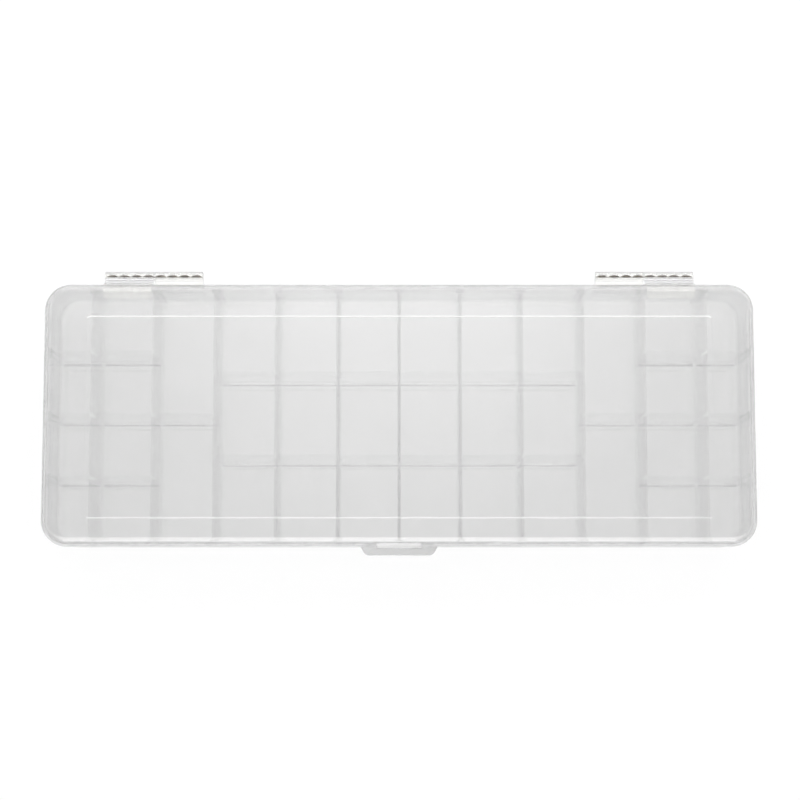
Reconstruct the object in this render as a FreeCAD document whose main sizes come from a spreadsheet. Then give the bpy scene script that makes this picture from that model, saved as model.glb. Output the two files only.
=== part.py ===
import FreeCAD, Part
import math
import os
import re

import Sketcher

# Compartment storage box: a shallow tray with slotted dividers and a lid on two pinned hinges.
# Millimetres, +Z up. The origin is the centre of the tray's flat underside.
# The latch is at the front (-Y), the hinges are at the back (+Y), +X runs to the right.

doc = FreeCAD.newDocument("compartment_box")

SIZES = {
    # Lid
    "box_length": 356.0,
    "box_width": 132.0,
    "lid_corner_radius": 13.0,
    "lid_wall": 1.8,
    "lid_top": 1.8,
    "lid_edge_radius": 5.0,
    "lid_headroom": 1.2,
    "panel_side_margin": 21.8,
    "panel_front_margin": 13.7,
    "panel_back_margin": 16.9,
    "panel_rise": 0.8,
    "panel_corner_radius": 2.0,
    "panel_edge_radius": 0.5,
    # Tray
    "lid_overhang": 1.0,
    "tray_wall": 2.0,
    "floor_thickness": 2.0,
    "compartment_depth": 30.0,
    "rim_step": 3.5,
    "rim_clearance": 0.3,
    "seat_gap": 0.1,
    "foot_radius": 2.5,
    # Dividers and the ribs that guide their ends
    "divider_thickness": 1.6,
    "end_column": 21.5,
    "fit_clearance": 0.1,
    "rib_width": 1.0,
    "rib_depth": 1.0,
    "rib_drop": 2.0,
    # Latch
    "ledge_root": 40.0,
    "ledge_tip": 34.0,
    "ledge_reach": 5.0,
    "ledge_thickness": 3.0,
    "tongue_width": 23.0,
    "tongue_thickness": 1.8,
    "tongue_drop": 4.0,
    "tongue_rise": 2.4,
    "tongue_clearance": 0.4,
    "tongue_taper": 0.8,
    # Hinges
    "hinge_inset": 54.4,
    "knuckle_length": 24.4,
    "knuckle_gap": 0.4,
    "knuckle_radius": 2.5,
    "hinge_offset": 4.5,
    "strap_thickness": 0.8,
    "strap_reach": 8.0,
    "web_gap": 0.3,
    "tray_leaf_thickness": 1.5,
    "tray_leaf_height": 14.0,
    "pin_radius": 1.0,
    "pin_waist_radius": 0.8,
    "pin_collar": 4.4,
    "pin_inset": 0.5,
    "pin_press_clearance": 0.02,
    "pin_running_clearance": 0.05,
    # Every cut runs this far past the face that it leaves through
    "overrun": 1.0,
}

COLUMN_DIVIDERS = 11
PIN_COLLARS = 8
QUARTER_TURN = 90
LEVEL_TOLERANCE = 0.001

# Sizes and places worked out from the driving sizes
LAYOUT = {
    "tray_length": "box_length - 2 * lid_overhang",
    "tray_width": "box_width - 2 * lid_overhang",
    "tray_corner_radius": "lid_corner_radius - lid_overhang",
    "inner_length": "tray_length - 2 * tray_wall",
    "inner_width": "tray_width - 2 * tray_wall",
    "inner_corner_radius": "tray_corner_radius - tray_wall",
    "lid_inner_length": "box_length - 2 * lid_wall",
    "lid_inner_width": "box_width - 2 * lid_wall",
    "lid_inner_corner_radius": "lid_corner_radius - lid_wall",
    "rim_length": "lid_inner_length - 2 * rim_clearance",
    "rim_width": "lid_inner_width - 2 * rim_clearance",
    "rim_corner_radius": "lid_inner_corner_radius - rim_clearance",
    "rim_top": "floor_thickness + compartment_depth",
    "parting": "rim_top - rim_step",
    "lid_bottom": "parting + seat_gap",
    "lid_ceiling": "rim_top + lid_headroom",
    "lid_deck": "lid_ceiling + lid_top",
    "half_lap": "floor_thickness + compartment_depth / 2",
    "slot_width": "divider_thickness + 2 * fit_clearance",
    "column_pitch": f"(inner_length - 2 * end_column) / {COLUMN_DIVIDERS - 1}",
    "rib_place": "divider_thickness / 2 + fit_clearance",
    "lid_back": "box_width / 2",
    "tray_back": "tray_width / 2",
    "hinge_axis": "lid_back + hinge_offset",
    "hinge_middle": "box_length / 2 - hinge_inset",
    "pin_length": "2 * knuckle_length + knuckle_gap - 2 * pin_inset",
    "tongue_bottom": "parting - tongue_drop",
    "ledge_top": "tongue_bottom - tongue_clearance",
}

sizes = doc.addObject("Spreadsheet::Sheet", "sizes")
layout = doc.addObject("Spreadsheet::Sheet", "layout")


def named(text):
    """The expression with each alias pointing to the sheet that holds it."""

    def with_sheet(found):
        word = found.group()
        if word in SIZES:
            return "sizes." + word
        if word in LAYOUT:
            return "layout." + word
        raise ValueError("no size is called " + word)

    return re.sub(r"[a-z]+(_[a-z]+)*", with_sheet, text)


def fill(sheet, row, alias, content):
    sheet.set(f"A{row}", alias)
    sheet.set(f"B{row}", content)
    sheet.setAlias(f"B{row}", alias)


for row, (alias, size) in enumerate(SIZES.items(), start=1):
    fill(sizes, row, alias, str(size))
doc.recompute()
for row, (alias, formula) in enumerate(LAYOUT.items(), start=1):
    fill(layout, row, alias, "=" + named(formula))
    doc.recompute()


def value(text):
    """An expression's present value."""
    return float(sizes.evalExpression(named(text)))


def bind(target, prop, text):
    target.setExpression(prop, named(text))


# Building blocks of the plain pieces: boxes, rods along X, fusions and cuts


def block(name, x, y, z):
    """A box from (start, size) pairs along each axis."""
    box = doc.addObject("Part::Box", name)
    for prop, axis, (start, size) in (("Length", "x", x), ("Width", "y", y), ("Height", "z", z)):
        bind(box, prop, size)
        bind(box, "Placement.Base." + axis, start)
    return box


def rod(name, radius, start, length, y, z, quarter=False):
    """A cylinder along X. A quarter one fills the corner between +Y and +Z."""
    cylinder = doc.addObject("Part::Cylinder", name)
    turn = FreeCAD.Rotation(FreeCAD.Vector(0, 1, 0), QUARTER_TURN)
    if quarter:
        cylinder.Angle = QUARTER_TURN
        turn = FreeCAD.Rotation(FreeCAD.Vector(1, 0, 0), QUARTER_TURN) * turn
    cylinder.Placement = FreeCAD.Placement(FreeCAD.Vector(), turn)
    bind(cylinder, "Radius", radius)
    bind(cylinder, "Height", length)
    bind(cylinder, "Placement.Base.x", start)
    bind(cylinder, "Placement.Base.y", y)
    bind(cylinder, "Placement.Base.z", z)
    return cylinder


def fuse(name, shapes):
    if len(shapes) == 1:
        return shapes[0]
    fusion = doc.addObject("Part::MultiFuse", name)
    fusion.Shapes = shapes
    fusion.Refine = True
    return fusion


def cut(name, base, tool):
    difference = doc.addObject("Part::Cut", name)
    difference.Base = base
    difference.Tool = tool
    difference.Refine = True
    return difference


# Building blocks of the moulded pieces: sketches, pads, pockets and rounds in a body


def flat_sketch(body, name, level):
    """An empty sketch parallel to the body's XY plane, at a height."""
    sketch = body.newObject("Sketcher::SketchObject", name)
    plane = next(f for f in body.Origin.OriginFeatures if f.Role == "XY_Plane")
    sketch.AttachmentSupport = [(plane, "")]
    sketch.MapMode = "FlatFace"
    bind(sketch, "AttachmentOffset.Base.z", level)
    return sketch


def rounded_rectangle(body, name, level, length, width, radius, shift="0"):
    """A sketch of a rectangle with round corners, centred on X and shifted along Y."""
    sketch = flat_sketch(body, name, level)
    bind(sketch, "AttachmentOffset.Base.y", shift)
    x = value(length) / 2
    y = value(width) / 2
    r = value(radius)
    corners = ((x - r, r - y), (x - r, y - r), (r - x, y - r), (r - x, r - y))
    straights = (
        ((r - x, -y), (x - r, -y)),
        ((x, r - y), (x, y - r)),
        ((x - r, y), (r - x, y)),
        ((-x, y - r), (-x, r - y)),
    )
    for start, end in straights:
        sketch.addGeometry(Part.LineSegment(FreeCAD.Vector(*start), FreeCAD.Vector(*end)))
    for number, centre in enumerate(corners):
        circle = Part.Circle(FreeCAD.Vector(*centre), FreeCAD.Vector(0, 0, 1), r)
        first = math.radians((number - 1) * QUARTER_TURN)
        sketch.addGeometry(Part.ArcOfCircle(circle, first, first + math.radians(QUARTER_TURN)))
    count = len(straights)
    for number in range(count):
        arc = count + number
        sketch.addConstraint(Sketcher.Constraint("Tangent", number, 2, arc, 1))
        sketch.addConstraint(Sketcher.Constraint("Tangent", arc, 2, (number + 1) % count, 1))
        direction = "Vertical" if number % 2 else "Horizontal"
        sketch.addConstraint(Sketcher.Constraint(direction, number))
        if number:
            sketch.addConstraint(Sketcher.Constraint("Equal", count, arc))
    sketch.addConstraint(Sketcher.Constraint("Symmetric", count, 3, count + 2, 3, -1, 1))
    drive(sketch, "length", Sketcher.Constraint("DistanceX", 3, 1, 1, 1, 2 * x), length)
    drive(sketch, "width", Sketcher.Constraint("DistanceY", 0, 1, 2, 1, 2 * y), width)
    drive(sketch, "radius", Sketcher.Constraint("Radius", count, r), radius)
    return sketch


def drive(sketch, name, constraint, text):
    """Adds a dimension to a sketch and binds it to an expression."""
    sketch.renameConstraint(sketch.addConstraint(constraint), name)
    bind(sketch, "Constraints." + name, text)


def polygons(body, name, level, loops):
    """A sketch of closed polygons, each corner given as a pair of expressions."""
    sketch = flat_sketch(body, name, level)
    for loop in loops:
        first = sketch.GeometryCount
        places = [FreeCAD.Vector(value(x), value(y)) for x, y in loop]
        for number, place in enumerate(places):
            sketch.addGeometry(Part.LineSegment(place, places[(number + 1) % len(places)]))
        for number, (x, y) in enumerate(loop):
            line = first + number
            place = places[number]
            after = first + (number + 1) % len(loop)
            sketch.addConstraint(Sketcher.Constraint("Coincident", line, 2, after, 1))
            drive(sketch, f"across{line}", Sketcher.Constraint("DistanceX", -1, 1, line, 1, place.x), x)
            drive(sketch, f"along{line}", Sketcher.Constraint("DistanceY", -1, 1, line, 1, place.y), y)
    return sketch


def rectangle(x, y):
    """The corners of a rectangle from (start, end) pairs."""
    return ((x[0], y[0]), (x[1], y[0]), (x[1], y[1]), (x[0], y[1]))


def pad(body, sketch, length):
    feature = body.newObject("PartDesign::Pad", sketch.Name + "_pad")
    feature.Profile = sketch
    bind(feature, "Length", length)
    doc.recompute()
    return feature


def pocket(body, sketch, length, upwards=False):
    before = body.Shape.Volume
    feature = body.newObject("PartDesign::Pocket", sketch.Name + "_pocket")
    feature.Profile = sketch
    feature.Reversed = upwards
    bind(feature, "Length", length)
    doc.recompute()
    if body.Shape.Volume >= before:
        raise RuntimeError(feature.Name + " cuts nothing")
    return feature


def round_edges(body, base, level, radius):
    """Rounds every edge of a feature that lies flat at a height."""
    height = value(level)
    edges = []
    for number, edge in enumerate(base.Shape.Edges, start=1):
        box = edge.BoundBox
        if max(abs(box.ZMin - height), abs(box.ZMax - height)) < LEVEL_TOLERANCE:
            edges.append(f"Edge{number}")
    feature = body.newObject("PartDesign::Fillet", base.Name + "_round")
    feature.Base = (base, edges)
    bind(feature, "Radius", radius)
    doc.recompute()
    return feature


def repeat(body, feature, axis, length, count):
    """Copies a feature along an axis of its sketch."""
    pattern = body.newObject("PartDesign::LinearPattern", feature.Name + "_pattern")
    pattern.Originals = [feature]
    pattern.Direction = (feature.Profile[0], [axis])
    bind(pattern, "Length", length)
    pattern.Occurrences = count
    body.Tip = pattern
    doc.recompute()
    return pattern


# Where the dividers stand

QUARTER_ROW_SHARES = {"front": "-1 / 4", "middle": "0", "back": "1 / 4"}
THIRD_ROW_SHARES = {"front": "-1 / 6", "back": "1 / 6"}


def column_place(number):
    """The X of a column divider, counted from 1 at the left."""
    return f"({number - (COLUMN_DIVIDERS + 1) // 2} * column_pitch)"


def row_strips():
    """Each row divider: name, its Y, and the first and last column divider that it is slotted into."""
    last = COLUMN_DIVIDERS
    reach = {"front": 2, "middle": 3, "back": 2}
    strips = []
    for row, share in QUARTER_ROW_SHARES.items():
        place = f"({share} * inner_width)"
        strips.append((f"row_divider_left_{row}", place, 1, reach[row]))
        strips.append((f"row_divider_right_{row}", place, last + 1 - reach[row], last))
    for row, share in THIRD_ROW_SHARES.items():
        place = f"({share} * inner_width)"
        strips.append((f"row_divider_centre_{row}", place, reach["middle"], last + 1 - reach["middle"]))
    return strips


STRIPS = row_strips()


def make_base_tray():
    """The tray: floor, walls with a stepped rim, divider guides and the thumb ledge of the latch."""
    body = doc.addObject("PartDesign::Body", "base_tray")
    outline = rounded_rectangle(body, "tray_outline", "0", "tray_length", "tray_width", "tray_corner_radius")
    shell = pad(body, outline, "parting")
    round_edges(body, shell, "0", "foot_radius")
    rim = rounded_rectangle(body, "rim_outline", "parting", "rim_length", "rim_width", "rim_corner_radius")
    pad(body, rim, "rim_step")
    ledge = (
        ("-ledge_root / 2", "-tray_back + tray_wall / 2"),
        ("-ledge_root / 2", "-tray_back"),
        ("-ledge_tip / 2", "-tray_back - ledge_reach"),
        ("ledge_tip / 2", "-tray_back - ledge_reach"),
        ("ledge_root / 2", "-tray_back"),
        ("ledge_root / 2", "-tray_back + tray_wall / 2"),
    )
    pad(body, polygons(body, "ledge_outline", "ledge_top - ledge_thickness", [ledge]), "ledge_thickness")
    hollow = rounded_rectangle(
        body, "hollow_outline", "rim_top", "inner_length", "inner_width", "inner_corner_radius"
    )
    pocket(body, hollow, "compartment_depth")
    add_divider_guides(body)
    return body


def add_divider_guides(body):
    """Pairs of upright ribs on the walls, one pair for each divider end."""
    rib_height = "compartment_depth - rib_drop"
    long_wall = "inner_width / 2"
    first_column = column_place(1)
    loops = []
    for wall, inside in ((f"-{long_wall} - tray_wall / 2", f"-{long_wall} + rib_depth"),
                         (f"{long_wall} - rib_depth", f"{long_wall} + tray_wall / 2")):
        loops.append(rectangle(
            (f"{first_column} - rib_place - rib_width", f"{first_column} - rib_place"), (wall, inside)))
        loops.append(rectangle(
            (f"{first_column} + rib_place", f"{first_column} + rib_place + rib_width"), (wall, inside)))
    columns = pad(body, polygons(body, "column_guides", "floor_thickness", loops), rib_height)
    repeat(body, columns, "H_Axis", f"{COLUMN_DIVIDERS - 1} * column_pitch", COLUMN_DIVIDERS)
    short_wall = "inner_length / 2"
    first_row = f"({QUARTER_ROW_SHARES['front']} * inner_width)"
    loops = []
    for wall, inside in ((f"-{short_wall} - tray_wall / 2", f"-{short_wall} + rib_depth"),
                         (f"{short_wall} - rib_depth", f"{short_wall} + tray_wall / 2")):
        loops.append(rectangle(
            (wall, inside), (f"{first_row} - rib_place - rib_width", f"{first_row} - rib_place")))
        loops.append(rectangle(
            (wall, inside), (f"{first_row} + rib_place", f"{first_row} + rib_place + rib_width")))
    rows = pad(body, polygons(body, "row_guides", "floor_thickness", loops), rib_height)
    repeat(body, rows, "V_Axis", "inner_width / 2", len(QUARTER_ROW_SHARES))


def make_lid():
    """The lid: a shallow cap with a round edge, a raised panel and the latch tongue."""
    body = doc.addObject("PartDesign::Body", "lid")
    outline = rounded_rectangle(
        body, "lid_outline", "lid_bottom", "box_length", "box_width", "lid_corner_radius"
    )
    cap = pad(body, outline, "lid_deck - lid_bottom")
    round_edges(body, cap, "lid_deck", "lid_edge_radius")
    hollow = rounded_rectangle(
        body, "lid_hollow", "lid_bottom", "lid_inner_length", "lid_inner_width", "lid_inner_corner_radius"
    )
    pocket(body, hollow, "lid_ceiling - lid_bottom", upwards=True)
    panel_outline = rounded_rectangle(
        body,
        "panel_outline",
        "lid_deck",
        "box_length - 2 * panel_side_margin",
        "box_width - panel_front_margin - panel_back_margin",
        "panel_corner_radius",
        shift="(panel_front_margin - panel_back_margin) / 2",
    )
    panel = pad(body, panel_outline, "panel_rise")
    round_edges(body, panel, "lid_deck + panel_rise", "panel_edge_radius")
    inner = "-tray_back - tongue_clearance"
    outer = f"{inner} - tongue_thickness"
    tongue = (
        ("-tongue_width / 2", inner),
        ("-tongue_width / 2", f"{outer} + tongue_taper"),
        ("-tongue_width / 2 + tongue_taper", outer),
        ("tongue_width / 2 - tongue_taper", outer),
        ("tongue_width / 2", f"{outer} + tongue_taper"),
        ("tongue_width / 2", inner),
    )
    pad(body, polygons(body, "tongue_outline", "tongue_bottom", [tongue]),
        "lid_bottom + tongue_rise - tongue_bottom")
    return body


def make_column_divider(number):
    """A full-depth divider, slotted from above where row dividers cross it."""
    name = f"column_divider_{number:02d}"
    middle = column_place(number)
    plate = block(
        name + "_plate",
        (f"{middle} - divider_thickness / 2", "divider_thickness"),
        ("fit_clearance - inner_width / 2", "inner_width - 2 * fit_clearance"),
        ("floor_thickness", "compartment_depth"),
    )
    slots = []
    for strip, place, first, last in STRIPS:
        if first <= number <= last:
            slots.append(block(
                f"{name}_slot_{strip}",
                (f"{middle} - divider_thickness / 2 - overrun", "divider_thickness + 2 * overrun"),
                (f"{place} - slot_width / 2", "slot_width"),
                ("half_lap - fit_clearance / 2", "rim_top + overrun - half_lap + fit_clearance / 2"),
            ))
    return cut(name, plate, fuse(name + "_slots", slots))


def make_row_divider(name, place, first, last):
    """A divider along X, slotted from below where it drops over the column dividers."""
    left = f"({column_place(first)} - divider_thickness / 2)"
    right = f"({column_place(last)} + divider_thickness / 2)"
    if first == 1:
        left = "(fit_clearance - inner_length / 2)"
    if last == COLUMN_DIVIDERS:
        right = "(inner_length / 2 - fit_clearance)"
    plate = block(
        name + "_plate",
        (left, f"{right} - {left}"),
        (f"{place} - divider_thickness / 2", "divider_thickness"),
        ("floor_thickness", "compartment_depth"),
    )
    slots = []
    for number in range(first, last + 1):
        slots.append(block(
            f"{name}_slot_{number}",
            (f"{column_place(number)} - slot_width / 2", "slot_width"),
            (f"{place} - divider_thickness / 2 - overrun", "divider_thickness + 2 * overrun"),
            ("floor_thickness - overrun", "half_lap + fit_clearance / 2 - floor_thickness + overrun"),
        ))
    return cut(name, plate, fuse(name + "_slots", slots))


def knuckle_start(side, on_lid):
    """The lowest X of a hinge knuckle. The lid's knuckles are the outer ones."""
    near = "(hinge_middle + knuckle_gap / 2)"
    if not on_lid:
        near = "(hinge_middle - knuckle_gap / 2 - knuckle_length)"
    return near if side == "right" else f"(-{near} - knuckle_length)"


def make_lid_leaf(side):
    """The lid's half of a hinge: a strap over the lid's back edge, a web and a bored knuckle."""
    name = f"lid_hinge_leaf_{side}"
    start = knuckle_start(side, on_lid=True)
    along = (start, "knuckle_length")
    bend_y = "lid_back - lid_edge_radius"
    bend_z = "lid_deck - lid_edge_radius"
    web_top = "parting + knuckle_radius"
    low = "parting + web_gap"
    flange = block(
        name + "_flange", along, ("lid_back - strap_reach", "strap_reach - lid_edge_radius"),
        ("lid_deck", "strap_thickness"))
    bend = rod(name + "_bend", "lid_edge_radius + strap_thickness", start, "knuckle_length",
               bend_y, bend_z, quarter=True)
    lid_edge = rod(name + "_lid_edge", "lid_edge_radius", f"{start} - overrun",
                   "knuckle_length + 2 * overrun", bend_y, bend_z)
    back = block(name + "_back", along, ("lid_back", "strap_thickness"), (low, f"{bend_z} - ({low})"))
    web = block(name + "_web", along, ("lid_back", "hinge_offset"), (low, f"{web_top} - ({low})"))
    knuckle = rod(name + "_knuckle", "knuckle_radius", start, "knuckle_length", "hinge_axis", "parting")
    bore = rod(name + "_bore", "pin_radius + pin_running_clearance", f"{start} - overrun",
               "knuckle_length + 2 * overrun", "hinge_axis", "parting")
    strap_bend = cut(name + "_strap_bend", bend, lid_edge)
    return cut(name, fuse(name + "_blank", [flange, strap_bend, back, web, knuckle]), bore)


def make_tray_leaf(side):
    """The tray's half of a hinge: a plate on the back wall, a web and a bored knuckle."""
    name = f"tray_hinge_leaf_{side}"
    start = knuckle_start(side, on_lid=False)
    along = (start, "knuckle_length")
    top = "(parting - web_gap)"
    plate = block(name + "_plate", along, ("tray_back", "tray_leaf_thickness"),
                  (f"{top} - tray_leaf_height", "tray_leaf_height"))
    web = block(name + "_web", along, ("tray_back", "hinge_axis - tray_back"),
                ("parting - knuckle_radius", "knuckle_radius - web_gap"))
    knuckle = rod(name + "_knuckle", "knuckle_radius", start, "knuckle_length", "hinge_axis", "parting")
    bore = rod(name + "_bore", "pin_radius + pin_press_clearance", f"{start} - overrun",
               "knuckle_length + 2 * overrun", "hinge_axis", "parting")
    return cut(name, fuse(name + "_blank", [plate, web, knuckle]), bore)


def make_pin(side):
    """A hinge pin with full-size collars between narrower waists."""
    name = f"hinge_pin_{side}"
    middle = "hinge_middle" if side == "right" else "-hinge_middle"
    start = f"({middle} - pin_length / 2)"
    rods = [rod(name + "_core", "pin_waist_radius", start, "pin_length", "hinge_axis", "parting")]
    for number in range(PIN_COLLARS):
        centre = f"{start} + {number + 0.5} * pin_length / {PIN_COLLARS}"
        rods.append(rod(f"{name}_collar_{number}", "pin_radius", f"{centre} - pin_collar / 2", "pin_collar",
                        "hinge_axis", "parting"))
    return fuse(name, rods)


def make_all():
    pieces = [("base_tray", make_base_tray()), ("lid", make_lid())]
    for number in range(1, COLUMN_DIVIDERS + 1):
        pieces.append((f"column_divider_{number:02d}", make_column_divider(number)))
    for name, place, first, last in STRIPS:
        pieces.append((name, make_row_divider(name, place, first, last)))
    for side in ("left", "right"):
        pieces.append((f"lid_hinge_leaf_{side}", make_lid_leaf(side)))
        pieces.append((f"tray_hinge_leaf_{side}", make_tray_leaf(side)))
        pieces.append((f"hinge_pin_{side}", make_pin(side)))
    doc.recompute()
    return pieces


def check(pieces):
    for item in doc.Objects:
        if "Invalid" in item.State or "Error" in item.State:
            raise RuntimeError(f"{item.Name} failed: {item.State}")
    for name, piece in pieces:
        if piece.Shape.isNull() or not piece.Shape.isValid() or len(piece.Shape.Solids) != 1:
            raise RuntimeError(name + " is not one valid solid")


def write(pieces):
    os.makedirs("parts", exist_ok=True)
    for name, piece in pieces:
        piece.Label = name
        piece.Shape.exportStep(f"parts/{name}.step")


parts = make_all()
check(parts)
write(parts)
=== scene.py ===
"""Looks for a compartment storage box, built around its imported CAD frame.

The file is laid out as an add-on and run as a script. Sizes are in metres, in the frame's own axes:
X along the length, the latch towards -Y, the hinges towards +Y and Z up.
"""
import math

import bmesh
import bpy
from bpy.props import FloatProperty, FloatVectorProperty, PointerProperty
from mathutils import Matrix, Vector


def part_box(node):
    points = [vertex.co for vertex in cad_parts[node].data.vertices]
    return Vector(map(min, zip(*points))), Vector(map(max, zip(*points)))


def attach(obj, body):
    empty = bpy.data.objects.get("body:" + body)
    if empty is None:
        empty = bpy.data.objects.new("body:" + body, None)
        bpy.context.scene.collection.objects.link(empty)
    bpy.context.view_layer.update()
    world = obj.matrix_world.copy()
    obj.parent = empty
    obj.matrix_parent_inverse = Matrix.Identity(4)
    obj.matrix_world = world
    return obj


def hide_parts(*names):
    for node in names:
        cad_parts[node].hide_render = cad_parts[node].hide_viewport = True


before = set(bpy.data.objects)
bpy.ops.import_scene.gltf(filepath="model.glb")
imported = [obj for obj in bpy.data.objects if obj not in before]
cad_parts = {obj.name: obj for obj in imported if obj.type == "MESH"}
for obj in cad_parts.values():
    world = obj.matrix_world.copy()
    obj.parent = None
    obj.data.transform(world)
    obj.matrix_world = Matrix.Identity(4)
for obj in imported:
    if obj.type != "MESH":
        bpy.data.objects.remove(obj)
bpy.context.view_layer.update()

bl_info = {
    "name": "Compartment Storage Box",
    "version": (1, 0, 0),
    "blender": (4, 5, 0),
    "location": "3D View > Sidebar > Storage Box",
    "description": "Dresses the packed storage box in clear moulded plastic",
    "category": "Object",
}

MM = 0.001
SIDES = ("left", "right")
COLUMNS = sorted(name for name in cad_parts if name.startswith("column_divider"))
ROWS = sorted(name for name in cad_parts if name.startswith("row_divider"))
END_ROWS = [name for name in ROWS if name.startswith("row_divider_right")]
TRAY_LOW, TRAY_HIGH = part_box("base_tray")
LID_LOW, LID_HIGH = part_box("lid")

# meshes: how near points are joined, the least corner, what is flat, and how far large faces lead the shading
POINT_WELD = 1e-7
LEAF_WELD = 1e-6
PLATE_WELD = 0.004 * MM
LEAST_CORNER = 0.2 * MM
FLAT_DEGREES = 0.5
LARGE_FACE_WEIGHT = 80

# tray: rounds as shares of other sizes, how deep guides and ledge are rooted, and the ledge's front
RIM_ROUND_SHARE = 0.45
STEP_HOLLOW_SHARE = 0.6
RIB_ROOT = 0.6 * MM
RIB_SINK = 0.5 * MM
LEDGE_ROOT_DEPTH = 0.8 * MM
FRONT_BAND = 0.1 * MM

# lid: the panel's edge in shares of its slope and its drop, and how far towards +Y the faces lean that get
# the milky step plastic, a painted highlight
PANEL_EDGE = ((1.15, 0.0), (0.95, 0.07), (0.06, 0.95), (0.0, 1.12))
HIGHLIGHT_LEAN = (0.3, 0.9)

# dividers and pins: rows of faces in a divider, and points along and round a pin
PLATE_LEVELS = 4
WIRE_STEPS = 160
WIRE_SIDES = 14

# clear plastic: scales of its patterns, the parts of a noise that are used, and what every one shares
HAZE_SCALE = 45.0
MIST_SCALE = 25.0
FLOW_SCALE = 30.0
FLOW_DEPTH = 0.1 * MM
HAZE_BAND = (0.3, 0.7)
SCRATCH_TURNS = (0.35, -0.6, 1.2)
SCRATCH_SCALE = (25.0, 2600.0, 400.0)
SCRATCH_BAND = (0.72, 0.8)
PLASTIC_IOR = 1.49
COAT_ROUGHNESS = 0.03
FILM_SHARE = 0.95
LOSS_COLOUR = (0.5, 0.5, 0.5, 1.0)

# where along Y a painted shade starts, is full and ends: past the tray's front wall on the thumb ledge, and
# past the lid's back edge on a lid leaf's strap
LEDGE_SHADE_PATCH = tuple(-TRAY_HIGH.y - past * MM for past in (0.1, 0.5, 10.0))
STRAP_SHADE_PATCH = tuple(LID_HIGH.y + past * MM for past in (4.0, 3.4, 0.0))

# where a mask of a row divider's foot starts and is full: above its step, which has a painted shade, above
# its spread, and by its lean
FOOT_STEP_BAND = (0.03 * MM, 0.0)
FOOT_SPREAD_BAND = (0.13 * MM, 0.03 * MM)
FOOT_LEAN = (-0.04, -0.1)

# pin metal: scales of its patterns, roughness where dull and where worn, and depth of its surface
PATINA_SCALE = 900.0
PIN_FLOW_SCALE = 1500.0
PIN_ROUGHNESS = (0.5, 0.32)
PIN_DEPTH = 0.05 * MM

# room in reflections: from and to along one axis of a direction, and the brightness or share at each
ROOM_AROUND = (-0.6, 0.6, 0.5, 1.3)
ROOM_BEHIND = (0.02, 0.25, 0.1, 1.35)
ROOM_ASIDE = (0.05, 0.25, 1.0, 0.25)
ROOM_HIGH = (0.75, 0.95, 0.0, 1.0)
GLOW_BEFORE = (-0.1, -0.3, 0.0, 1.0)
GLOW_ABOVE = (0.35, 0.58, 0.0, 1.0)
GLOW_MIDST = (0.45, 0.26, 0.0, 1.0)

# stage
TABLE_HALF = 4.0
TABLE_DROP = 0.4 * MM
LAMP_PLACE = (0.0, 0.42, 0.48)
LAMP_SIZE = (1.2, 0.24)
CAMERA_PLACE = (0.00045, -0.1042, 0.7748)
CAMERA_TILT = math.radians(4.87)
CAMERA_SHIFT = 0.12
SENSOR_WIDTH = 36.0
BOUNCES = 24
CLEAR_BOUNCES = 48


def length(name, description, millimetres):
    """A size that a user may change, given in millimetres and kept in metres."""
    return FloatProperty(name=name, description=description, default=millimetres * MM, min=0.0, precision=5,
                         subtype="DISTANCE", unit="LENGTH")


def share(name, description, value):
    """A plain number from nothing to one."""
    return FloatProperty(name=name, description=description, default=value, min=0.0, max=1.0)


def colour(name, description, rgb):
    """A colour without alpha."""
    return FloatVectorProperty(name=name, description=description, default=rgb, min=0.0, max=1.0, size=3,
                               subtype="COLOR")


class TraySizes(bpy.types.PropertyGroup):
    """Sizes of the tray that the frame's boxes don't give."""
    wall: length("Wall", "Thickness of the side walls", 2.0)
    floor: length("Floor", "Thickness of the floor", 2.0)
    corner: length("Corner", "Radius of the upright corners outside", 12.0)
    foot_round: length("Foot round", "Round between the underside and the walls", 2.5)
    floor_round: length("Floor round", "Round between the floor and the walls inside", 1.2)
    parting: length("Parting", "Height of the step that the lid closes on", 28.5)
    rim_setback: length("Rim setback", "How far the rim stands inside the walls", 1.1)
    rim_top: length("Rim top", "Height of the rim", 32.0)
    edge_round: length("Edge round", "Round on the rim and the step", 0.35)
    rib_width: length("Rib width", "Width and depth of a divider guide", 1.0)
    rib_spread: length("Rib spread", "From the divider's middle to the middle of a guide", 1.4)
    rib_top: length("Rib top", "Height of the divider guides", 30.0)
    ledge_root: length("Ledge root", "Width of the thumb ledge at the wall", 40.0)
    ledge_tip: length("Ledge tip", "Width of the thumb ledge at its end", 34.0)
    ledge_low: length("Ledge underside", "Height of the thumb ledge's underside", 21.1)
    ledge_high: length("Ledge top", "Height of the thumb ledge's top", 24.1)
    ledge_corner: length("Ledge corner", "Radius of the thumb ledge's outer corners", 2.0)
    ledge_round: length("Ledge round", "Round on the thumb ledge's edges", 0.7)


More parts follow.
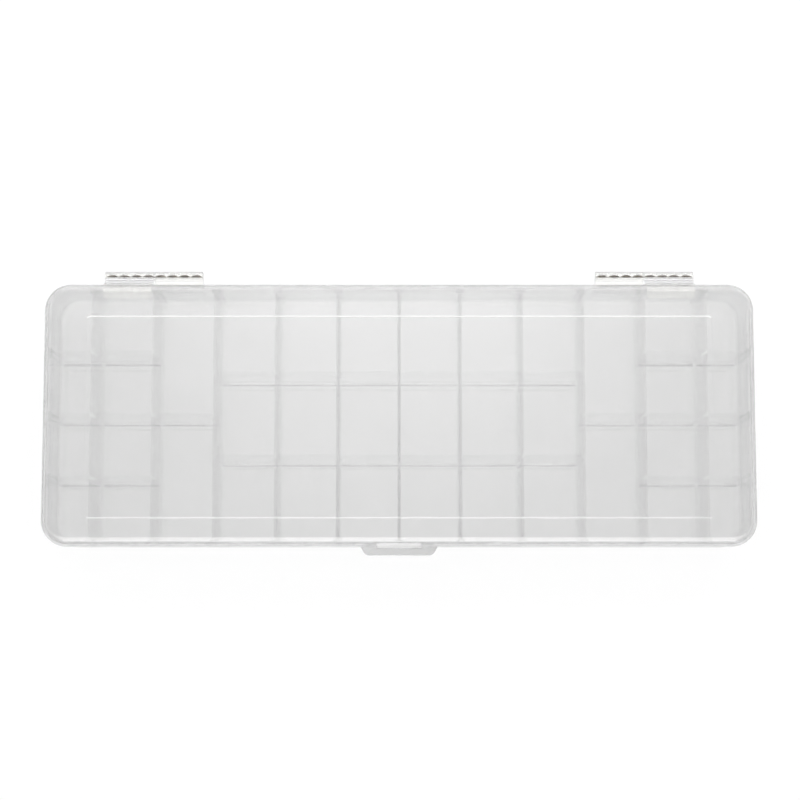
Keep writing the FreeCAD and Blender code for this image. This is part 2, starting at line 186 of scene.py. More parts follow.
class LidSizes(bpy.types.PropertyGroup):
    """Sizes of the lid that the frame's boxes don't give."""
    skirt: length("Skirt", "Thickness of the side skirt", 1.8)
    skirt_foot: length("Skirt foot", "Height of the skirt's lower edge", 28.6)
    deck: length("Deck", "Height of the lid's flat top", 35.0)
    ceiling: length("Ceiling", "Height of the lid's underside", 33.2)
    corner: length("Corner", "Radius of the upright corners outside", 13.0)
    edge_round: length("Edge round", "Round between the top and the skirt", 5.0)
    inner_round: length("Inner round", "Round between the underside and the skirt", 1.8)
    lip_round: length("Lip round", "Round on the skirt's lower edge", 0.35)
    panel_length: length("Panel length", "Length of the raised panel", 312.4)
    panel_width: length("Panel width", "Width of the raised panel", 101.4)
    panel_setback: length("Panel setback", "How far the panel sits towards the latch", 1.6)
    panel_corner: length("Panel corner", "Radius of the panel's corners", 2.0)
    panel_slope: length("Panel slope", "Width of the sloping facet round the panel's edge", 0.6)
    panel_drop: length("Panel drop", "How far that facet falls", 0.32)
    panel_foot: length("Panel foot", "Hollow round at the panel's foot", 0.2)
    tongue_width: length("Tongue width", "Width of the latch tongue at its root", 23.0)
    tongue_taper: length("Tongue taper", "How much narrower the tongue is at its tip, on each side", 0.4)
    tongue_root: length("Tongue root", "Where in the skirt the tongue starts, from the middle", 64.25)
    tongue_top: length("Tongue top", "Height of the tongue's upper end", 33.8)
    tongue_slope: length("Tongue slope", "How far the tongue's upper end falls towards the front", 1.25)
    tongue_round: length("Tongue round", "Round on the tongue's edges", 0.45)


class DividerSizes(bpy.types.PropertyGroup):
    """Sizes shared by all the slotted dividers."""
    foot_gap: length("Foot gap", "Air under a divider", 0.06)
    row_flare: length("Row flare", "How far a row divider's foot spreads towards the latch", 1.5)
    row_lip: length("Row lip", "How far the steeper part of that spread reaches", 0.5)
    foot_step: length("Foot step", "Height of the flat part of the spread", 0.15)
    foot_height: length("Foot height", "Height of the steeper part above it", 0.26)
    foot_corner: length("Foot corner", "Cut at the ends of the foot, clear of the tray's round", 0.9)
    lap: length("Half lap", "Height at which crossing dividers meet", 17.0)
    lap_gap: length("Lap gap", "Air between crossing dividers, at the lap", 0.1)
    slot_width: length("Slot width", "Width of the slots", 1.8)
    edge_round: length("Edge round", "Round on the edges", 0.5)


class HingeSizes(bpy.types.PropertyGroup):
    """Sizes of the hinge leaves and pins."""
    edge_round: length("Edge round", "Round on the edges of the leaves", 0.3)
    skin_gap: length("Skin gap", "Air between a leaf and what it is bonded to", 0.02)
    wire_radius: length("Wire radius", "Radius of the crimped pin where it is thickest", 0.72)
    wire_thin: share("Wire thin", "Radius at the crimps, as a share of the largest", 0.15)
    wire_wave: length("Wire wave", "How far the crimps push the pin sideways", 0.5)
    wire_period: length("Wire period", "Distance from crimp to crimp", 6.05)


class Finishes(bpy.types.PropertyGroup):
    """Colours of the plastics and the pins."""
    lid_tint: colour("Lid tint", "Colour of the light that passes the lid", (0.83, 0.83, 0.83))
    # painted shade: this dark colour is mixed into the lid where it is seen edge on
    lid_edge_shade: colour("Lid edge", "Colour of the lid where it is seen edge on", (0.12, 0.12, 0.12))
    # painted highlight: the back slope of the lid's panel gets this whiter, milkier plastic to show as a
    # bright line
    panel_highlight_tint: colour("Panel step", "Colour of the milky step behind the lid's panel", (0.97, 0.97, 0.97))
    tray_tint: colour("Tray tint", "Colour of the light that passes the tray", (0.82, 0.82, 0.82))
    # painted shade: this dark colour is mixed into the tray where it is seen edge on
    tray_edge_shade: colour("Tray edge", "Colour of the tray where it is seen edge on", (0.5, 0.5, 0.5))
    # painted shade: the thumb ledge gets this darker tint for the shade under the box's front
    ledge_shade_tint: colour("Ledge tint", "Colour of the light that passes the thumb ledge", (0.52, 0.52, 0.52))
    divider_tint: colour("Divider tint", "Colour of the light that passes a divider", (0.9, 0.9, 0.9))
    # painted shade: the front of a row divider's foot gets this dark tint for the shade along its foot
    foot_shade_tint: colour("Foot tint", "Colour of the light that passes a row divider's foot", (0.42, 0.42, 0.42))
    hinge_tint: colour("Leaf tint", "Colour of the light that passes a hinge leaf", (0.96, 0.955, 0.935))
    # painted shade: the part of a lid leaf's strap past the lid's back edge gets this greyer tint
    strap_shade_tint: colour("Strap tint", "Colour of the light that passes a lid leaf's strap",
                       (0.66, 0.655, 0.675))
    # painted shade: this dark colour is mixed into a hinge leaf where it is seen edge on, drawing its outline
    hinge_edge_shade: colour("Leaf edge", "Colour of a hinge leaf where it is seen edge on", (0.03, 0.03, 0.03))
    pin_dark: colour("Pin patina", "Colour of the pins where they have gone dull", (0.045, 0.036, 0.028))
    pin_light: colour("Pin bright", "Colour of the pins where they are worn", (0.13, 0.11, 0.085))


class StageLook(bpy.types.PropertyGroup):
    """Floor, light and camera."""
    floor_colour: colour("Floor", "Colour of the table", (0.88, 0.88, 0.88))
    floor_white: share("White floor", "How far the table shows as plain white", 0.85)
    back_power: FloatProperty(name="Back lamp", description="Power of the lamp behind the box", default=2.6,
                              min=0.0, unit="POWER")
    front_glow: FloatProperty(name="Front glow", default=2.8, min=0.0,
                              description="How bright the room before the box is in reflections")
    lens: FloatProperty(name="Lens", description="Focal length", default=67.56, min=1.0, unit="CAMERA")


class Tree:
    """A node tree under construction, with short ways to add and link nodes."""

    def __init__(self, group):
        self.group = group

    def socket(self, name, kind, default=None, out=False):
        """Adds a named socket to the group's own interface."""
        made = self.group.interface.new_socket(name, in_out="OUTPUT" if out else "INPUT", socket_type=kind)
        if default is not None:
            made.default_value = default

    def add(self, kind, feeds=None, **settings):
        """Adds a node, sets its settings, and feeds its inputs with sockets or plain values."""
        made = self.group.nodes.new(kind)
        for key, value in settings.items():
            setattr(made, key, value)
        for key, value in (feeds or {}).items():
            self.feed(made.inputs[key], value)
        return made

    def out(self, kind, feeds=None, **settings):
        """Adds a node in the same way and gives its first output."""
        return self.add(kind, feeds, **settings).outputs[0]

    def feed(self, socket, value):
        """Links a socket into another, or sets a plain value there."""
        if isinstance(value, bpy.types.NodeSocket):
            self.group.links.new(value, socket)
        else:
            socket.default_value = value

    def calc(self, operation, first, second=0.0, third=0.0):
        """The result of a Math node."""
        return self.out("ShaderNodeMath", {0: first, 1: second, 2: third}, operation=operation)

    def join(self, x=0.0, y=0.0, z=0.0):
        """A vector from three numbers."""
        return self.out("ShaderNodeCombineXYZ", {"X": x, "Y": y, "Z": z})

    def split(self, vector):
        """The X, Y and Z of a vector."""
        return self.add("ShaderNodeSeparateXYZ", {0: vector}).outputs

    def point(self):
        """The X, Y and Z of each point, in a geometry tree."""
        return self.split(self.out("GeometryNodeInputPosition"))

    def ramp(self, value, start, end, low=0.0, high=1.0):
        """A number that goes from low, where value is start, to high, where it is end, and no further."""
        return self.out("ShaderNodeMapRange", {"Value": value, "From Min": start, "From Max": end,
                                               "To Min": low, "To Max": high})

    def mix(self, factor, first, second):
        """A number between two others."""
        return self.out("ShaderNodeMix", {0: factor, 2: first, 3: second}, data_type="FLOAT")

    def blend(self, factor, first, second):
        """A colour between two others."""
        return self.add("ShaderNodeMix", {0: factor, 6: first, 7: second}, data_type="RGBA").outputs[2]


def geometry_tree(name, numbers, others):
    """An empty geometry tree and its inputs: plain numbers, others by their socket's kind, and a material."""
    tree = Tree(bpy.data.node_groups.new(name, "GeometryNodeTree"))
    kinds = {label: "Float" for label in numbers} | others | {"Material": "Material"}
    for label, kind in kinds.items():
        tree.socket(label, "NodeSocket" + kind)
    tree.socket("Geometry", "NodeSocketGeometry", out=True)
    return tree, tree.add("NodeGroupInput").outputs


def end_tree(tree, geometry, material):
    """Ends a geometry tree in Realize Instances and Set Material."""
    real = tree.out("GeometryNodeRealizeInstances", {"Geometry": geometry})
    dressed = tree.out("GeometryNodeSetMaterial", {"Geometry": real, "Material": material})
    tree.add("NodeGroupOutput", {0: dressed})


def run_tree(tree, name, values):
    """A plain mesh object made by a geometry tree with those input values."""
    holder = link(bpy.data.objects.new(name, bpy.data.meshes.new(name)))
    grow = holder.modifiers.new("grow", "NODES")
    grow.node_group = tree.group
    for item in tree.group.interface.items_tree:
        if item.item_type == "SOCKET" and item.in_out == "INPUT":
            grow[item.identifier] = values[item.name]
    return settle(holder)


def link(obj):
    """Puts an object in the scene."""
    bpy.context.scene.collection.objects.link(obj)
    return obj


def settle(obj):
    """Turns an object's live modifiers into a plain mesh."""
    graph = bpy.context.evaluated_depsgraph_get()
    made = bpy.data.meshes.new_from_object(obj.evaluated_get(graph), preserve_all_data_layers=True,
                                           depsgraph=graph)
    old = obj.data
    obj.modifiers.clear()
    obj.data = made
    made.name = obj.name
    bpy.data.meshes.remove(old)
    return obj


def mesh_object(name, bm):
    """An object from a bmesh, whose normals are made to point outwards."""
    bmesh.ops.recalc_face_normals(bm, faces=bm.faces)
    mesh = bpy.data.meshes.new(name)
    bm.to_mesh(mesh)
    bm.free()
    return link(bpy.data.objects.new(name, mesh))


def smooth(obj, sharp_degrees=34.0):
    """Smooth shading that keeps flat faces flat."""
    mesh = obj.data
    mesh.polygons.foreach_set("use_smooth", [True] * len(mesh.polygons))
    mesh.set_sharp_from_angle(angle=math.radians(sharp_degrees))
    weigh = obj.modifiers.new("weigh", "WEIGHTED_NORMAL")
    weigh.keep_sharp = True
    weigh.weight = LARGE_FACE_WEIGHT
    return settle(obj)


def round_edges(obj, width, segments=3, degrees=30.0, pick=None):
    """Rounds every edge that turns by more than those degrees and that pick, a test of an edge, takes."""
    bm = bmesh.new()
    bm.from_mesh(obj.data)
    limit = math.radians(degrees)
    sharp = [edge for edge in bm.edges if edge.is_manifold and edge.calc_face_angle() > limit]
    bmesh.ops.bevel(bm, geom=[edge for edge in sharp if pick is None or pick(edge)], offset=width,
                    offset_type="OFFSET", segments=segments, profile=0.5, affect="EDGES", clamp_overlap=True)
    bm.to_mesh(obj.data)
    bm.free()
    return obj


def fuse(obj, *tools):
    """Joins other closed meshes into an object as one solid."""
    for tool in tools:
        union = obj.modifiers.new("fuse", "BOOLEAN")
        union.operation = "UNION"
        union.solver = "EXACT"
        union.object = tool
    settle(obj)
    for tool in tools:
        mesh = tool.data
        bpy.data.objects.remove(tool)
        bpy.data.meshes.remove(mesh)


def place(obj, node, body, material):
    """Gives a finished piece its material and its body, and hides the CAD node that it stands for."""
    obj.data.materials.clear()
    obj.data.materials.append(material)
    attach(obj, body)
    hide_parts(node)


def rounded_ring(half_x, half_y, radius, height, middle_y=0.0, steps=10):
    """Points of a rounded rectangle, anticlockwise from the right side, at one height."""
    points = []
    for quarter, (sx, sy) in enumerate(((1, 1), (-1, 1), (-1, -1), (1, -1))):
        centre = Vector((sx * (half_x - radius), sy * (half_y - radius) + middle_y))
        for step in range(steps + 1):
            turn = (quarter + step / steps) * math.pi / 2
            points.append((centre.x + radius * math.cos(turn), centre.y + radius * math.sin(turn), height))
    return points


def arc(start, end, inset_first, steps=5):
    """Profile points (inset, height) of a quarter round, which sets out along its inset or its height."""
    points = []
    for step in range(steps + 1):
        turn = step / steps * math.pi / 2
        early, late = math.sin(turn), 1 - math.cos(turn)
        inset, height = (early, late) if inset_first else (late, early)
        points.append((start[0] + (end[0] - start[0]) * inset, start[1] + (end[1] - start[1]) * height))
    return points


def skin(rings):
    """A closed mesh through rings of equal count, flat at the first and the last."""
    bm = bmesh.new()
    made = [[bm.verts.new(point) for point in ring] for ring in rings]
    for low, high in zip(made, made[1:]):
        for i in range(len(low)):
            j = (i + 1) % len(low)
            bm.faces.new((low[i], low[j], high[j], high[i]))
    bm.faces.new(made[0])
    bm.faces.new(made[-1])
    bmesh.ops.remove_doubles(bm, verts=bm.verts, dist=POINT_WELD)
    return bm


def shell_rings(half_x, half_y, corner, profile):
    """Rings for a profile of (inset, height) points, taken in from one rounded rectangle."""
    return [rounded_ring(half_x - inset, half_y - inset, max(corner - inset, LEAST_CORNER), height)
            for inset, height in profile]


def slab(low, high, tip_inset, tip):
    """A box as a bmesh, narrowed along X at its tip: its front, -Y, or its lower end, -Z."""
    bm = bmesh.new()
    bmesh.ops.create_cube(bm, size=1.0)
    axis = {"-Y": 1, "-Z": 2}[tip]
    for v in bm.verts:
        v.co = Vector(near + (far - near) * (c + 0.5) for near, far, c in zip(low, high, v.co))
        if v.co[axis] < (low[axis] + high[axis]) / 2:
            v.co.x -= math.copysign(tip_inset, v.co.x)
    return bm


def plate_gaps(tree, given, across, up, last, half):
    """Marks the faces of a divider's grid that are left out.

    A face lies in a slot where its column is odd, and it is cut out above or below the half lap. A slot
    that reaches past an end of the divider is an open notch, with nothing beyond it."""
    calc = tree.calc
    in_slot = calc("MODULO", calc("FLOOR", across), 2.0)
    is_upper = calc("GREATER_THAN", up, PLATE_LEVELS - 1.0)
    cut_side = calc("COMPARE", is_upper, given["From Above"], 0.1)
    final_slot = calc("MULTIPLY_ADD", calc("SUBTRACT", given["Slot Count"], 1.0), given["Slot Pitch"],
                      given["First Slot"])
    before = calc("MULTIPLY", calc("LESS_THAN", across, 1.0),
                  calc("LESS_THAN", calc("SUBTRACT", given["First Slot"], half), given["Low End"]))
    beyond = calc("MULTIPLY", calc("GREATER_THAN", across, calc("SUBTRACT", last, 1.0)),
                  calc("GREATER_THAN", calc("ADD", final_slot, half), given["High End"]))
    return calc("MAXIMUM", calc("MULTIPLY", in_slot, cut_side), calc("MAXIMUM", before, beyond))


def plate_along(tree, given, column, level, last, half):
    """Where a column of the grid's points lies along a divider: at an end, or at a side of a slot."""
    calc = tree.calc
    number = calc("FLOOR", calc("MULTIPLY_ADD", column, 0.5, -0.5))
    # -1 at the first side of a slot and 1 at the other
    side = calc("MULTIPLY_ADD", number, -4.0, calc("MULTIPLY_ADD", column, 2.0, -3.0))
    middle = calc("MULTIPLY_ADD", number, given["Slot Pitch"], given["First Slot"])
    edge = calc("MULTIPLY_ADD", side, half, middle)
    corner = calc("MULTIPLY", calc("LESS_THAN", level, 1.5), given["Foot Corner"])
    low = calc("ADD", given["Low End"], corner)
    high = calc("SUBTRACT", given["High End"], corner)
    along = calc("MAXIMUM", calc("MINIMUM", edge, high), low)
    is_first = calc("LESS_THAN", column, 0.5)
    is_last = calc("GREATER_THAN", column, calc("SUBTRACT", last, 0.5))
    along = calc("MULTIPLY_ADD", calc("SUBTRACT", low, along), is_first, along)
    return calc("MULTIPLY_ADD", calc("SUBTRACT", high, along), is_last, along)


def plate_height(tree, given, level, step_top):
    """Height of a row of the grid's points: foot, flat step, steeper spread, half lap or top."""
    calc = tree.calc
    spread_top = calc("ADD", step_top, given["Foot Height"])
    marks = (given["Foot"], step_top, spread_top, given["Half Lap"], given["Top"])
    height = given["Foot"]
    for step, (below, above) in enumerate(zip(marks, marks[1:])):
        passed = calc("GREATER_THAN", level, step + 0.5)
        height = calc("MULTIPLY_ADD", calc("SUBTRACT", above, below), passed, height)
    return height


def plate_spread(tree, given, step_top):
    """How far the points of a foot's front are pushed along Y, towards the latch."""
    calc = tree.calc
    at = tree.point()
    at_lip = calc("LESS_THAN", at["Z"], calc("MULTIPLY_ADD", given["Foot Height"], 0.5, step_top))
    at_foot = calc("LESS_THAN", at["Z"], calc("MULTIPLY_ADD", given["Foot Step"], 0.5, given["Foot"]))
    further = calc("MULTIPLY", calc("SUBTRACT", given["Foot Flare"], given["Foot Lip"]), at_foot)
    outward = calc("MULTIPLY_ADD", given["Foot Lip"], at_lip, further)
    return calc("MULTIPLY", outward, calc("MULTIPLY", calc("LESS_THAN", at["Y"], 0.0), -1.0))


def plate_tree():
    """Geometry tree of one slotted divider: a flat grid without its slots, made thick, with a spread foot."""
    tree, given = geometry_tree("slotted divider", (
        "Low End", "High End", "Foot", "Top", "Half Lap", "Thickness", "Foot Flare", "Foot Lip", "Foot Step",
        "Foot Height", "Foot Corner", "First Slot", "Slot Pitch", "Slot Width", "From Above"),
        {"Slot Count": "Int", "Turn": "Rotation", "Place": "Vector"})
    calc = tree.calc
    last = calc("MULTIPLY_ADD", given["Slot Count"], 2.0, 1.0)
    grid = tree.out("GeometryNodeMeshGrid", {
        "Size X": last, "Size Y": float(PLATE_LEVELS), "Vertices X": calc("ADD", last, 1.0),
        "Vertices Y": PLATE_LEVELS + 1})
    spot = tree.point()
    across = calc("MULTIPLY_ADD", last, 0.5, spot["X"])
    up = calc("ADD", spot["Y"], PLATE_LEVELS / 2)
    half = calc("MULTIPLY", given["Slot Width"], 0.5)
    gaps = plate_gaps(tree, given, across, up, last, half)
    cut = tree.out("GeometryNodeDeleteGeometry", {"Geometry": grid, "Selection": gaps}, domain="FACE")
    level = calc("ROUND", up)
    step_top = calc("ADD", given["Foot"], given["Foot Step"])
    along = plate_along(tree, given, calc("ROUND", across), level, last, half)
    front = calc("MULTIPLY", given["Thickness"], -0.5)
    spots = tree.join(along, front, plate_height(tree, given, level, step_top))
    flat = tree.out("GeometryNodeSetPosition", {"Geometry": cut, "Position": spots})
    thick = tree.out("GeometryNodeExtrudeMesh", {
        "Mesh": flat, "Offset": tree.join(y=given["Thickness"]), "Offset Scale": 1.0, "Individual": False},
        mode="FACES")
    turned = tree.out("GeometryNodeFlipFaces", {"Mesh": thick})
    both = tree.add("GeometryNodeJoinGeometry")
    for sheet in (flat, turned):
        tree.feed(both.inputs[0], sheet)
    closed = tree.out("GeometryNodeMergeByDistance", {"Geometry": both.outputs[0], "Distance": PLATE_WELD})
    push = tree.join(y=plate_spread(tree, given, step_top))
    flared = tree.out("GeometryNodeSetPosition", {"Geometry": closed, "Offset": push})
    set_down = tree.out("GeometryNodeTransform", {
        "Geometry": flared, "Translation": given["Place"], "Rotation": given["Turn"]})
    end_tree(tree, set_down, given["Material"])
    return tree


def rib_tree():
    """Geometry tree of the divider guides on two facing walls: two upright bars at each divider's end."""
    tree, given = geometry_tree("divider guides", ("Pitch", "Spread", "Wall", "Width", "Root", "Low", "High"),
                                {"Count": "Int", "Turn": "Rotation"})
    calc = tree.calc
    first = calc("MULTIPLY", calc("SUBTRACT", given["Count"], 1.0), calc("MULTIPLY", given["Pitch"], -0.5))
    line = tree.out("GeometryNodeMeshLine", {
        "Count": given["Count"], "Start Location": tree.join(first), "Offset": tree.join(given["Pitch"])})
    depth = calc("ADD", given["Width"], given["Root"])
    middle = calc("MULTIPLY_ADD", calc("SUBTRACT", given["Root"], given["Width"]), 0.5, given["Wall"])
    rise = calc("SUBTRACT", given["High"], given["Low"])
    lift = calc("MULTIPLY_ADD", rise, 0.5, given["Low"])
    spots = tree.add("GeometryNodeJoinGeometry")
    for side in (-1.0, 1.0):
        for wall in (-1.0, 1.0):
            shift = tree.join(calc("MULTIPLY", given["Spread"], side), calc("MULTIPLY", middle, wall), lift)
            moved = tree.out("GeometryNodeTransform", {"Geometry": line, "Translation": shift})
            tree.feed(spots.inputs[0], moved)
    bar = tree.out("GeometryNodeMeshCube", {"Size": tree.join(given["Width"], depth, rise)})
    bars = tree.out("GeometryNodeInstanceOnPoints", {"Points": spots.outputs[0], "Instance": bar})
    turned = tree.out("GeometryNodeTransform", {"Geometry": bars, "Rotation": given["Turn"]})
    end_tree(tree, turned, given["Material"])
    return tree


def wire_tree():
    """Geometry tree of a crimped pin: a round wire pushed to one side and thinned at even crimps."""
    tree, given = geometry_tree("crimped pin", ("Low End", "High End", "Radius", "Thin", "Wave", "Period"),
                                {"Steps": "Int", "Sides": "Int", "Place": "Vector"})
    calc = tree.calc
    line = tree.out("GeometryNodeCurvePrimitiveLine", {
        "Start": tree.join(given["Low End"]), "End": tree.join(given["High End"])})
    fine = tree.out("GeometryNodeResampleCurve", {"Curve": line, "Count": given["Steps"]})
    gone = calc("SUBTRACT", tree.point()["X"], given["Low End"])
    crest = calc("ABSOLUTE", calc("SINE", calc("DIVIDE", calc("MULTIPLY", gone, math.pi), given["Period"])))
    fullness = calc("MULTIPLY_ADD", calc("SUBTRACT", 1.0, given["Thin"]), crest, given["Thin"])
    radius = calc("MULTIPLY", given["Radius"], fullness)
    aside = calc("MULTIPLY", given["Wave"], calc("SUBTRACT", crest, 0.5))
    bent = tree.out("GeometryNodeSetPosition", {"Geometry": fine, "Offset": tree.join(y=aside)})
    ring = tree.out("GeometryNodeCurvePrimitiveCircle", {"Resolution": given["Sides"], "Radius": 1.0})
    tube = tree.out("GeometryNodeCurveToMesh", {
        "Curve": bent, "Profile Curve": ring, "Scale": radius, "Fill Caps": True})
    set_down = tree.out("GeometryNodeTransform", {"Geometry": tube, "Translation": given["Place"]})
    end_tree(tree, set_down, given["Material"])
    return tree


def shader_group(name, inputs, output):
    """An empty shader group that takes a vector and numbers, each with a default, and gives one number."""
    tree = Tree(bpy.data.node_groups.new(name, "ShaderNodeTree"))
    tree.socket("Vector", "NodeSocketVector")
    for label, default in inputs.items():
        tree.socket(label, "NodeSocketFloat", default)
    tree.socket(output, "NodeSocketFloat", out=True)
    return tree, tree.add("NodeGroupInput").outputs


def haze_group(name):
    """Cloudy haze of moulded plastic: a value that drifts between two ends."""
    tree, given = shader_group(name, {"Scale": 40.0, "Low": 0.0, "High": 1.0}, "Value")
    cloud = tree.out("ShaderNodeTexNoise", {
        "Vector": given["Vector"], "Scale": given["Scale"], "Detail": 3.0, "Roughness": 0.55})
    tree.add("NodeGroupOutput", {"Value": tree.ramp(cloud, *HAZE_BAND, given["Low"], given["High"])})
    return tree.group


def surface_group(name):
    """Height of a moulded surface: slow melt flow and fine scratches from handling."""
    tree, given = shader_group(name, {"Flow Scale": 30.0, "Flow": 1.0, "Scratches": 0.1}, "Height")
    flow = tree.out("ShaderNodeTexNoise", {
        "Vector": given["Vector"], "Scale": given["Flow Scale"], "Detail": 1.0})
    height = tree.calc("MULTIPLY", flow, given["Flow"])
    for angle in SCRATCH_TURNS:
        turned = tree.out("ShaderNodeMapping", {
            "Vector": given["Vector"], "Rotation": (0.0, 0.0, angle), "Scale": SCRATCH_SCALE})
        hairs = tree.out("ShaderNodeTexNoise", {"Vector": turned, "Scale": 1.0, "Detail": 0.0})
        height = tree.calc("MULTIPLY_ADD", tree.ramp(hairs, *SCRATCH_BAND), given["Scratches"], height)
    tree.add("NodeGroupOutput", {"Height": height})
    return tree.group


def shared(tree, name, make, feeds):
    """Places a shader group, built once and used by several materials, with its own values."""
    group = bpy.data.node_groups.get(name) or make(name)
    return tree.out("ShaderNodeGroup", feeds, node_tree=group)


def haze(tree, spot, scale, ends):
    """A value that drifts over a material between two ends."""
    return shared(tree, "mould haze", haze_group, {
        "Vector": spot, "Scale": scale, "Low": ends[0], "High": ends[1]})


def relief(tree, spot, scale, flow, scratches, strength, depth):
    """A material's normal, uneven from flow and scratches."""
    height = shared(tree, "moulded surface", surface_group, {
        "Vector": spot, "Flow Scale": scale, "Flow": flow, "Scratches": scratches})
    return tree.out("ShaderNodeBump", {"Height": height, "Strength": strength, "Distance": depth})


def new_material(name):
    """An empty node material with its tree."""
    material = bpy.data.materials.new(name)
    material.use_nodes = True
    material.node_tree.nodes.clear()
    return material, Tree(material.node_tree)


def object_spot(tree):
    """A material's place on its piece."""
    return tree.add("ShaderNodeTexCoord").outputs["Object"]


def foot_shade_masks(tree, spot):
    """Masks on the front of a row divider: the flat step of its foot, which gets a painted shade, and all of
    its spread.
    """
    size = bpy.context.scene.box_divider
    step_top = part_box(ROWS[0])[0].z + size.foot_gap + size.foot_step
    spread_top = step_top + size.foot_height
    height = tree.split(spot)["Z"]
    lean = tree.split(tree.add("ShaderNodeTexCoord").outputs["Normal"])["Y"]
    outside = tree.calc("SUBTRACT", 1.0, tree.add("ShaderNodeNewGeometry").outputs["Backfacing"])
    front = tree.calc("MULTIPLY", tree.ramp(lean, *FOOT_LEAN), outside)
    step = tree.ramp(height, *(step_top + rise for rise in FOOT_STEP_BAND))
    spread = tree.ramp(height, *(spread_top + rise for rise in FOOT_SPREAD_BAND))
    return tree.calc("MULTIPLY", step, front), tree.calc("MULTIPLY", spread, front)


def clear_plastic(name, tint, rough, milk, coat=0.0, coat_ior=1.5, flow=0.3, scratches=0.05, alpha=(0.6, 0.7),
                  edge=None, edge_shade_fall=1.5, shade_patch=None, foot=None, dim=0.0):
    """Clear moulded plastic with a milky haze, which casts the pale shadow of a film.

    rough and alpha are the ends that its roughness and its cover drift between. edge is a painted shade: the
    dark colour it is given where it is seen edge on, and edge_shade_fall how late that colour comes on.
    shade_patch is a painted shade, another colour, and the places along Y where it starts, is full and ends.
    foot is a painted shade, the colour of a row divider's spread foot, and dim how much light is lost on the
    way through a divider."""
    made = bpy.data.materials.get(name)
    if made:
        return made
    made, tree = new_material(name)
    spot = object_spot(tree)
    cover = haze(tree, spot, MIST_SCALE, alpha)
    hue = (*tint, 1.0)
    # painted shade: towards grazing angles the colour turns to the dark edge colour, and the cover rises
    # there
    if edge is not None:
        facing = tree.add("ShaderNodeLayerWeight", {"Blend": 0.5}).outputs["Facing"]
        edge_shade_share = tree.calc("POWER", facing, edge_shade_fall)
        hue = tree.blend(edge_shade_share, hue, (*edge, 1.0))
        cover = tree.calc("MAXIMUM", cover, edge_shade_share)
    # painted shade: a band along Y is given another, darker colour
    if shade_patch is not None:
        other, (start, full, end) = shade_patch
        along = tree.split(spot)["Y"]
        shade_patch_share = tree.calc("MULTIPLY", tree.ramp(along, start, full),
                           tree.ramp(along, end, end + start - full))
        hue = tree.blend(shade_patch_share, hue, (*other, 1.0))
    # painted shade: the flat step of the foot turns to the dark foot colour
    if foot is not None:
        step, spread = foot_shade_masks(tree, spot)
        cover = tree.calc("MAXIMUM", cover, spread)
        hue = tree.blend(step, hue, (*foot, 1.0))
    body = tree.out("ShaderNodeBsdfPrincipled", {
        "Base Color": hue, "Roughness": haze(tree, spot, HAZE_SCALE, rough), "IOR": PLASTIC_IOR,
        "Transmission Weight": 1.0 - milk, "Alpha": cover, "Coat Weight": coat,
        "Coat Roughness": COAT_ROUGHNESS, "Coat IOR": coat_ior,
        "Normal": relief(tree, spot, FLOW_SCALE, flow, scratches, strength=1.0, depth=FLOW_DEPTH)})
    film = tree.out("ShaderNodeBsdfTransparent", {"Color": (*(FILM_SHARE * t ** 0.5 for t in tint), 1.0)})
    is_shadow = tree.add("ShaderNodeLightPath").outputs["Is Shadow Ray"]
    both = tree.out("ShaderNodeMixShader", {0: is_shadow, 1: body, 2: film})
    output = tree.add("ShaderNodeOutputMaterial", {"Surface": both})
    if dim:
        loss = tree.out("ShaderNodeVolumeAbsorption", {"Color": LOSS_COLOUR, "Density": dim})
        tree.feed(output.inputs["Volume"], loss)
    return made


def lid_plastic():
    """The lid's plastic: clear and glossy over a faint haze, with a painted shade where it is seen edge on.
    """
    finish = bpy.context.scene.box_finish
    return clear_plastic("lid plastic", finish.lid_tint, rough=(0.04, 0.09), milk=0.05, coat=1.0,
                         alpha=(0.8, 0.86), edge=finish.lid_edge_shade)


def highlight_step_plastic():
    """A painted highlight: the plastic of the step behind the lid's panel, where it is milkiest and whitest,
    so that it shows as a bright line.
    """
    finish = bpy.context.scene.box_finish
    return clear_plastic("step plastic", finish.panel_highlight_tint, rough=(0.3, 0.4), milk=0.5, alpha=(0.95, 1.0))


def tray_plastic():
    """The tray's plastic: a little milkier than the lid's, with a painted shade where it is seen edge on, and
    darker in the thumb ledge, where a shade is painted.
    """
    finish = bpy.context.scene.box_finish
    return clear_plastic("tray plastic", finish.tray_tint, rough=(0.08, 0.14), milk=0.06, flow=0.8,
                         edge=finish.tray_edge_shade, shade_patch=(finish.ledge_shade_tint, LEDGE_SHADE_PATCH))


def column_plastic():
    """The column dividers' plastic: a milky sheet that loses light along its height."""
    finish = bpy.context.scene.box_finish
    return clear_plastic("column plastic", finish.divider_tint, rough=(0.12, 0.2), milk=0.15, coat=1.0,
                         flow=0.05, scratches=0.0, alpha=(0.2, 0.28), dim=22.0)


def row_plastic():
    """The row dividers' plastic: a milky sheet, with a painted shade on the flat step of its foot, its
    darkest part.
    """
    finish = bpy.context.scene.box_finish
    return clear_plastic("row plastic", finish.divider_tint, rough=(0.12, 0.2), milk=0.1, coat=1.0,
                         coat_ior=2.0, flow=0.05, scratches=0.0, alpha=(0.08, 0.15), foot=finish.foot_shade_tint,
                         dim=4.0)


def leaf_plastic(body):
    """The hinge leaves' plastic: the clearest of all, with a painted shade at its edges, and a painted shade
    that greys the lid leaves' straps past the lid's back edge.
    """
    finish = bpy.context.scene.box_finish
    # painted shade on the strap past the lid's back edge
    strap = (finish.strap_shade_tint, STRAP_SHADE_PATCH) if body == "lid" else None
    return clear_plastic(body + " leaf plastic", finish.hinge_tint, rough=(0.02, 0.05), milk=0.03, flow=0.1,
                         alpha=(0.5, 0.6), edge=finish.hinge_edge_shade, edge_shade_fall=2.0, shade_patch=strap)


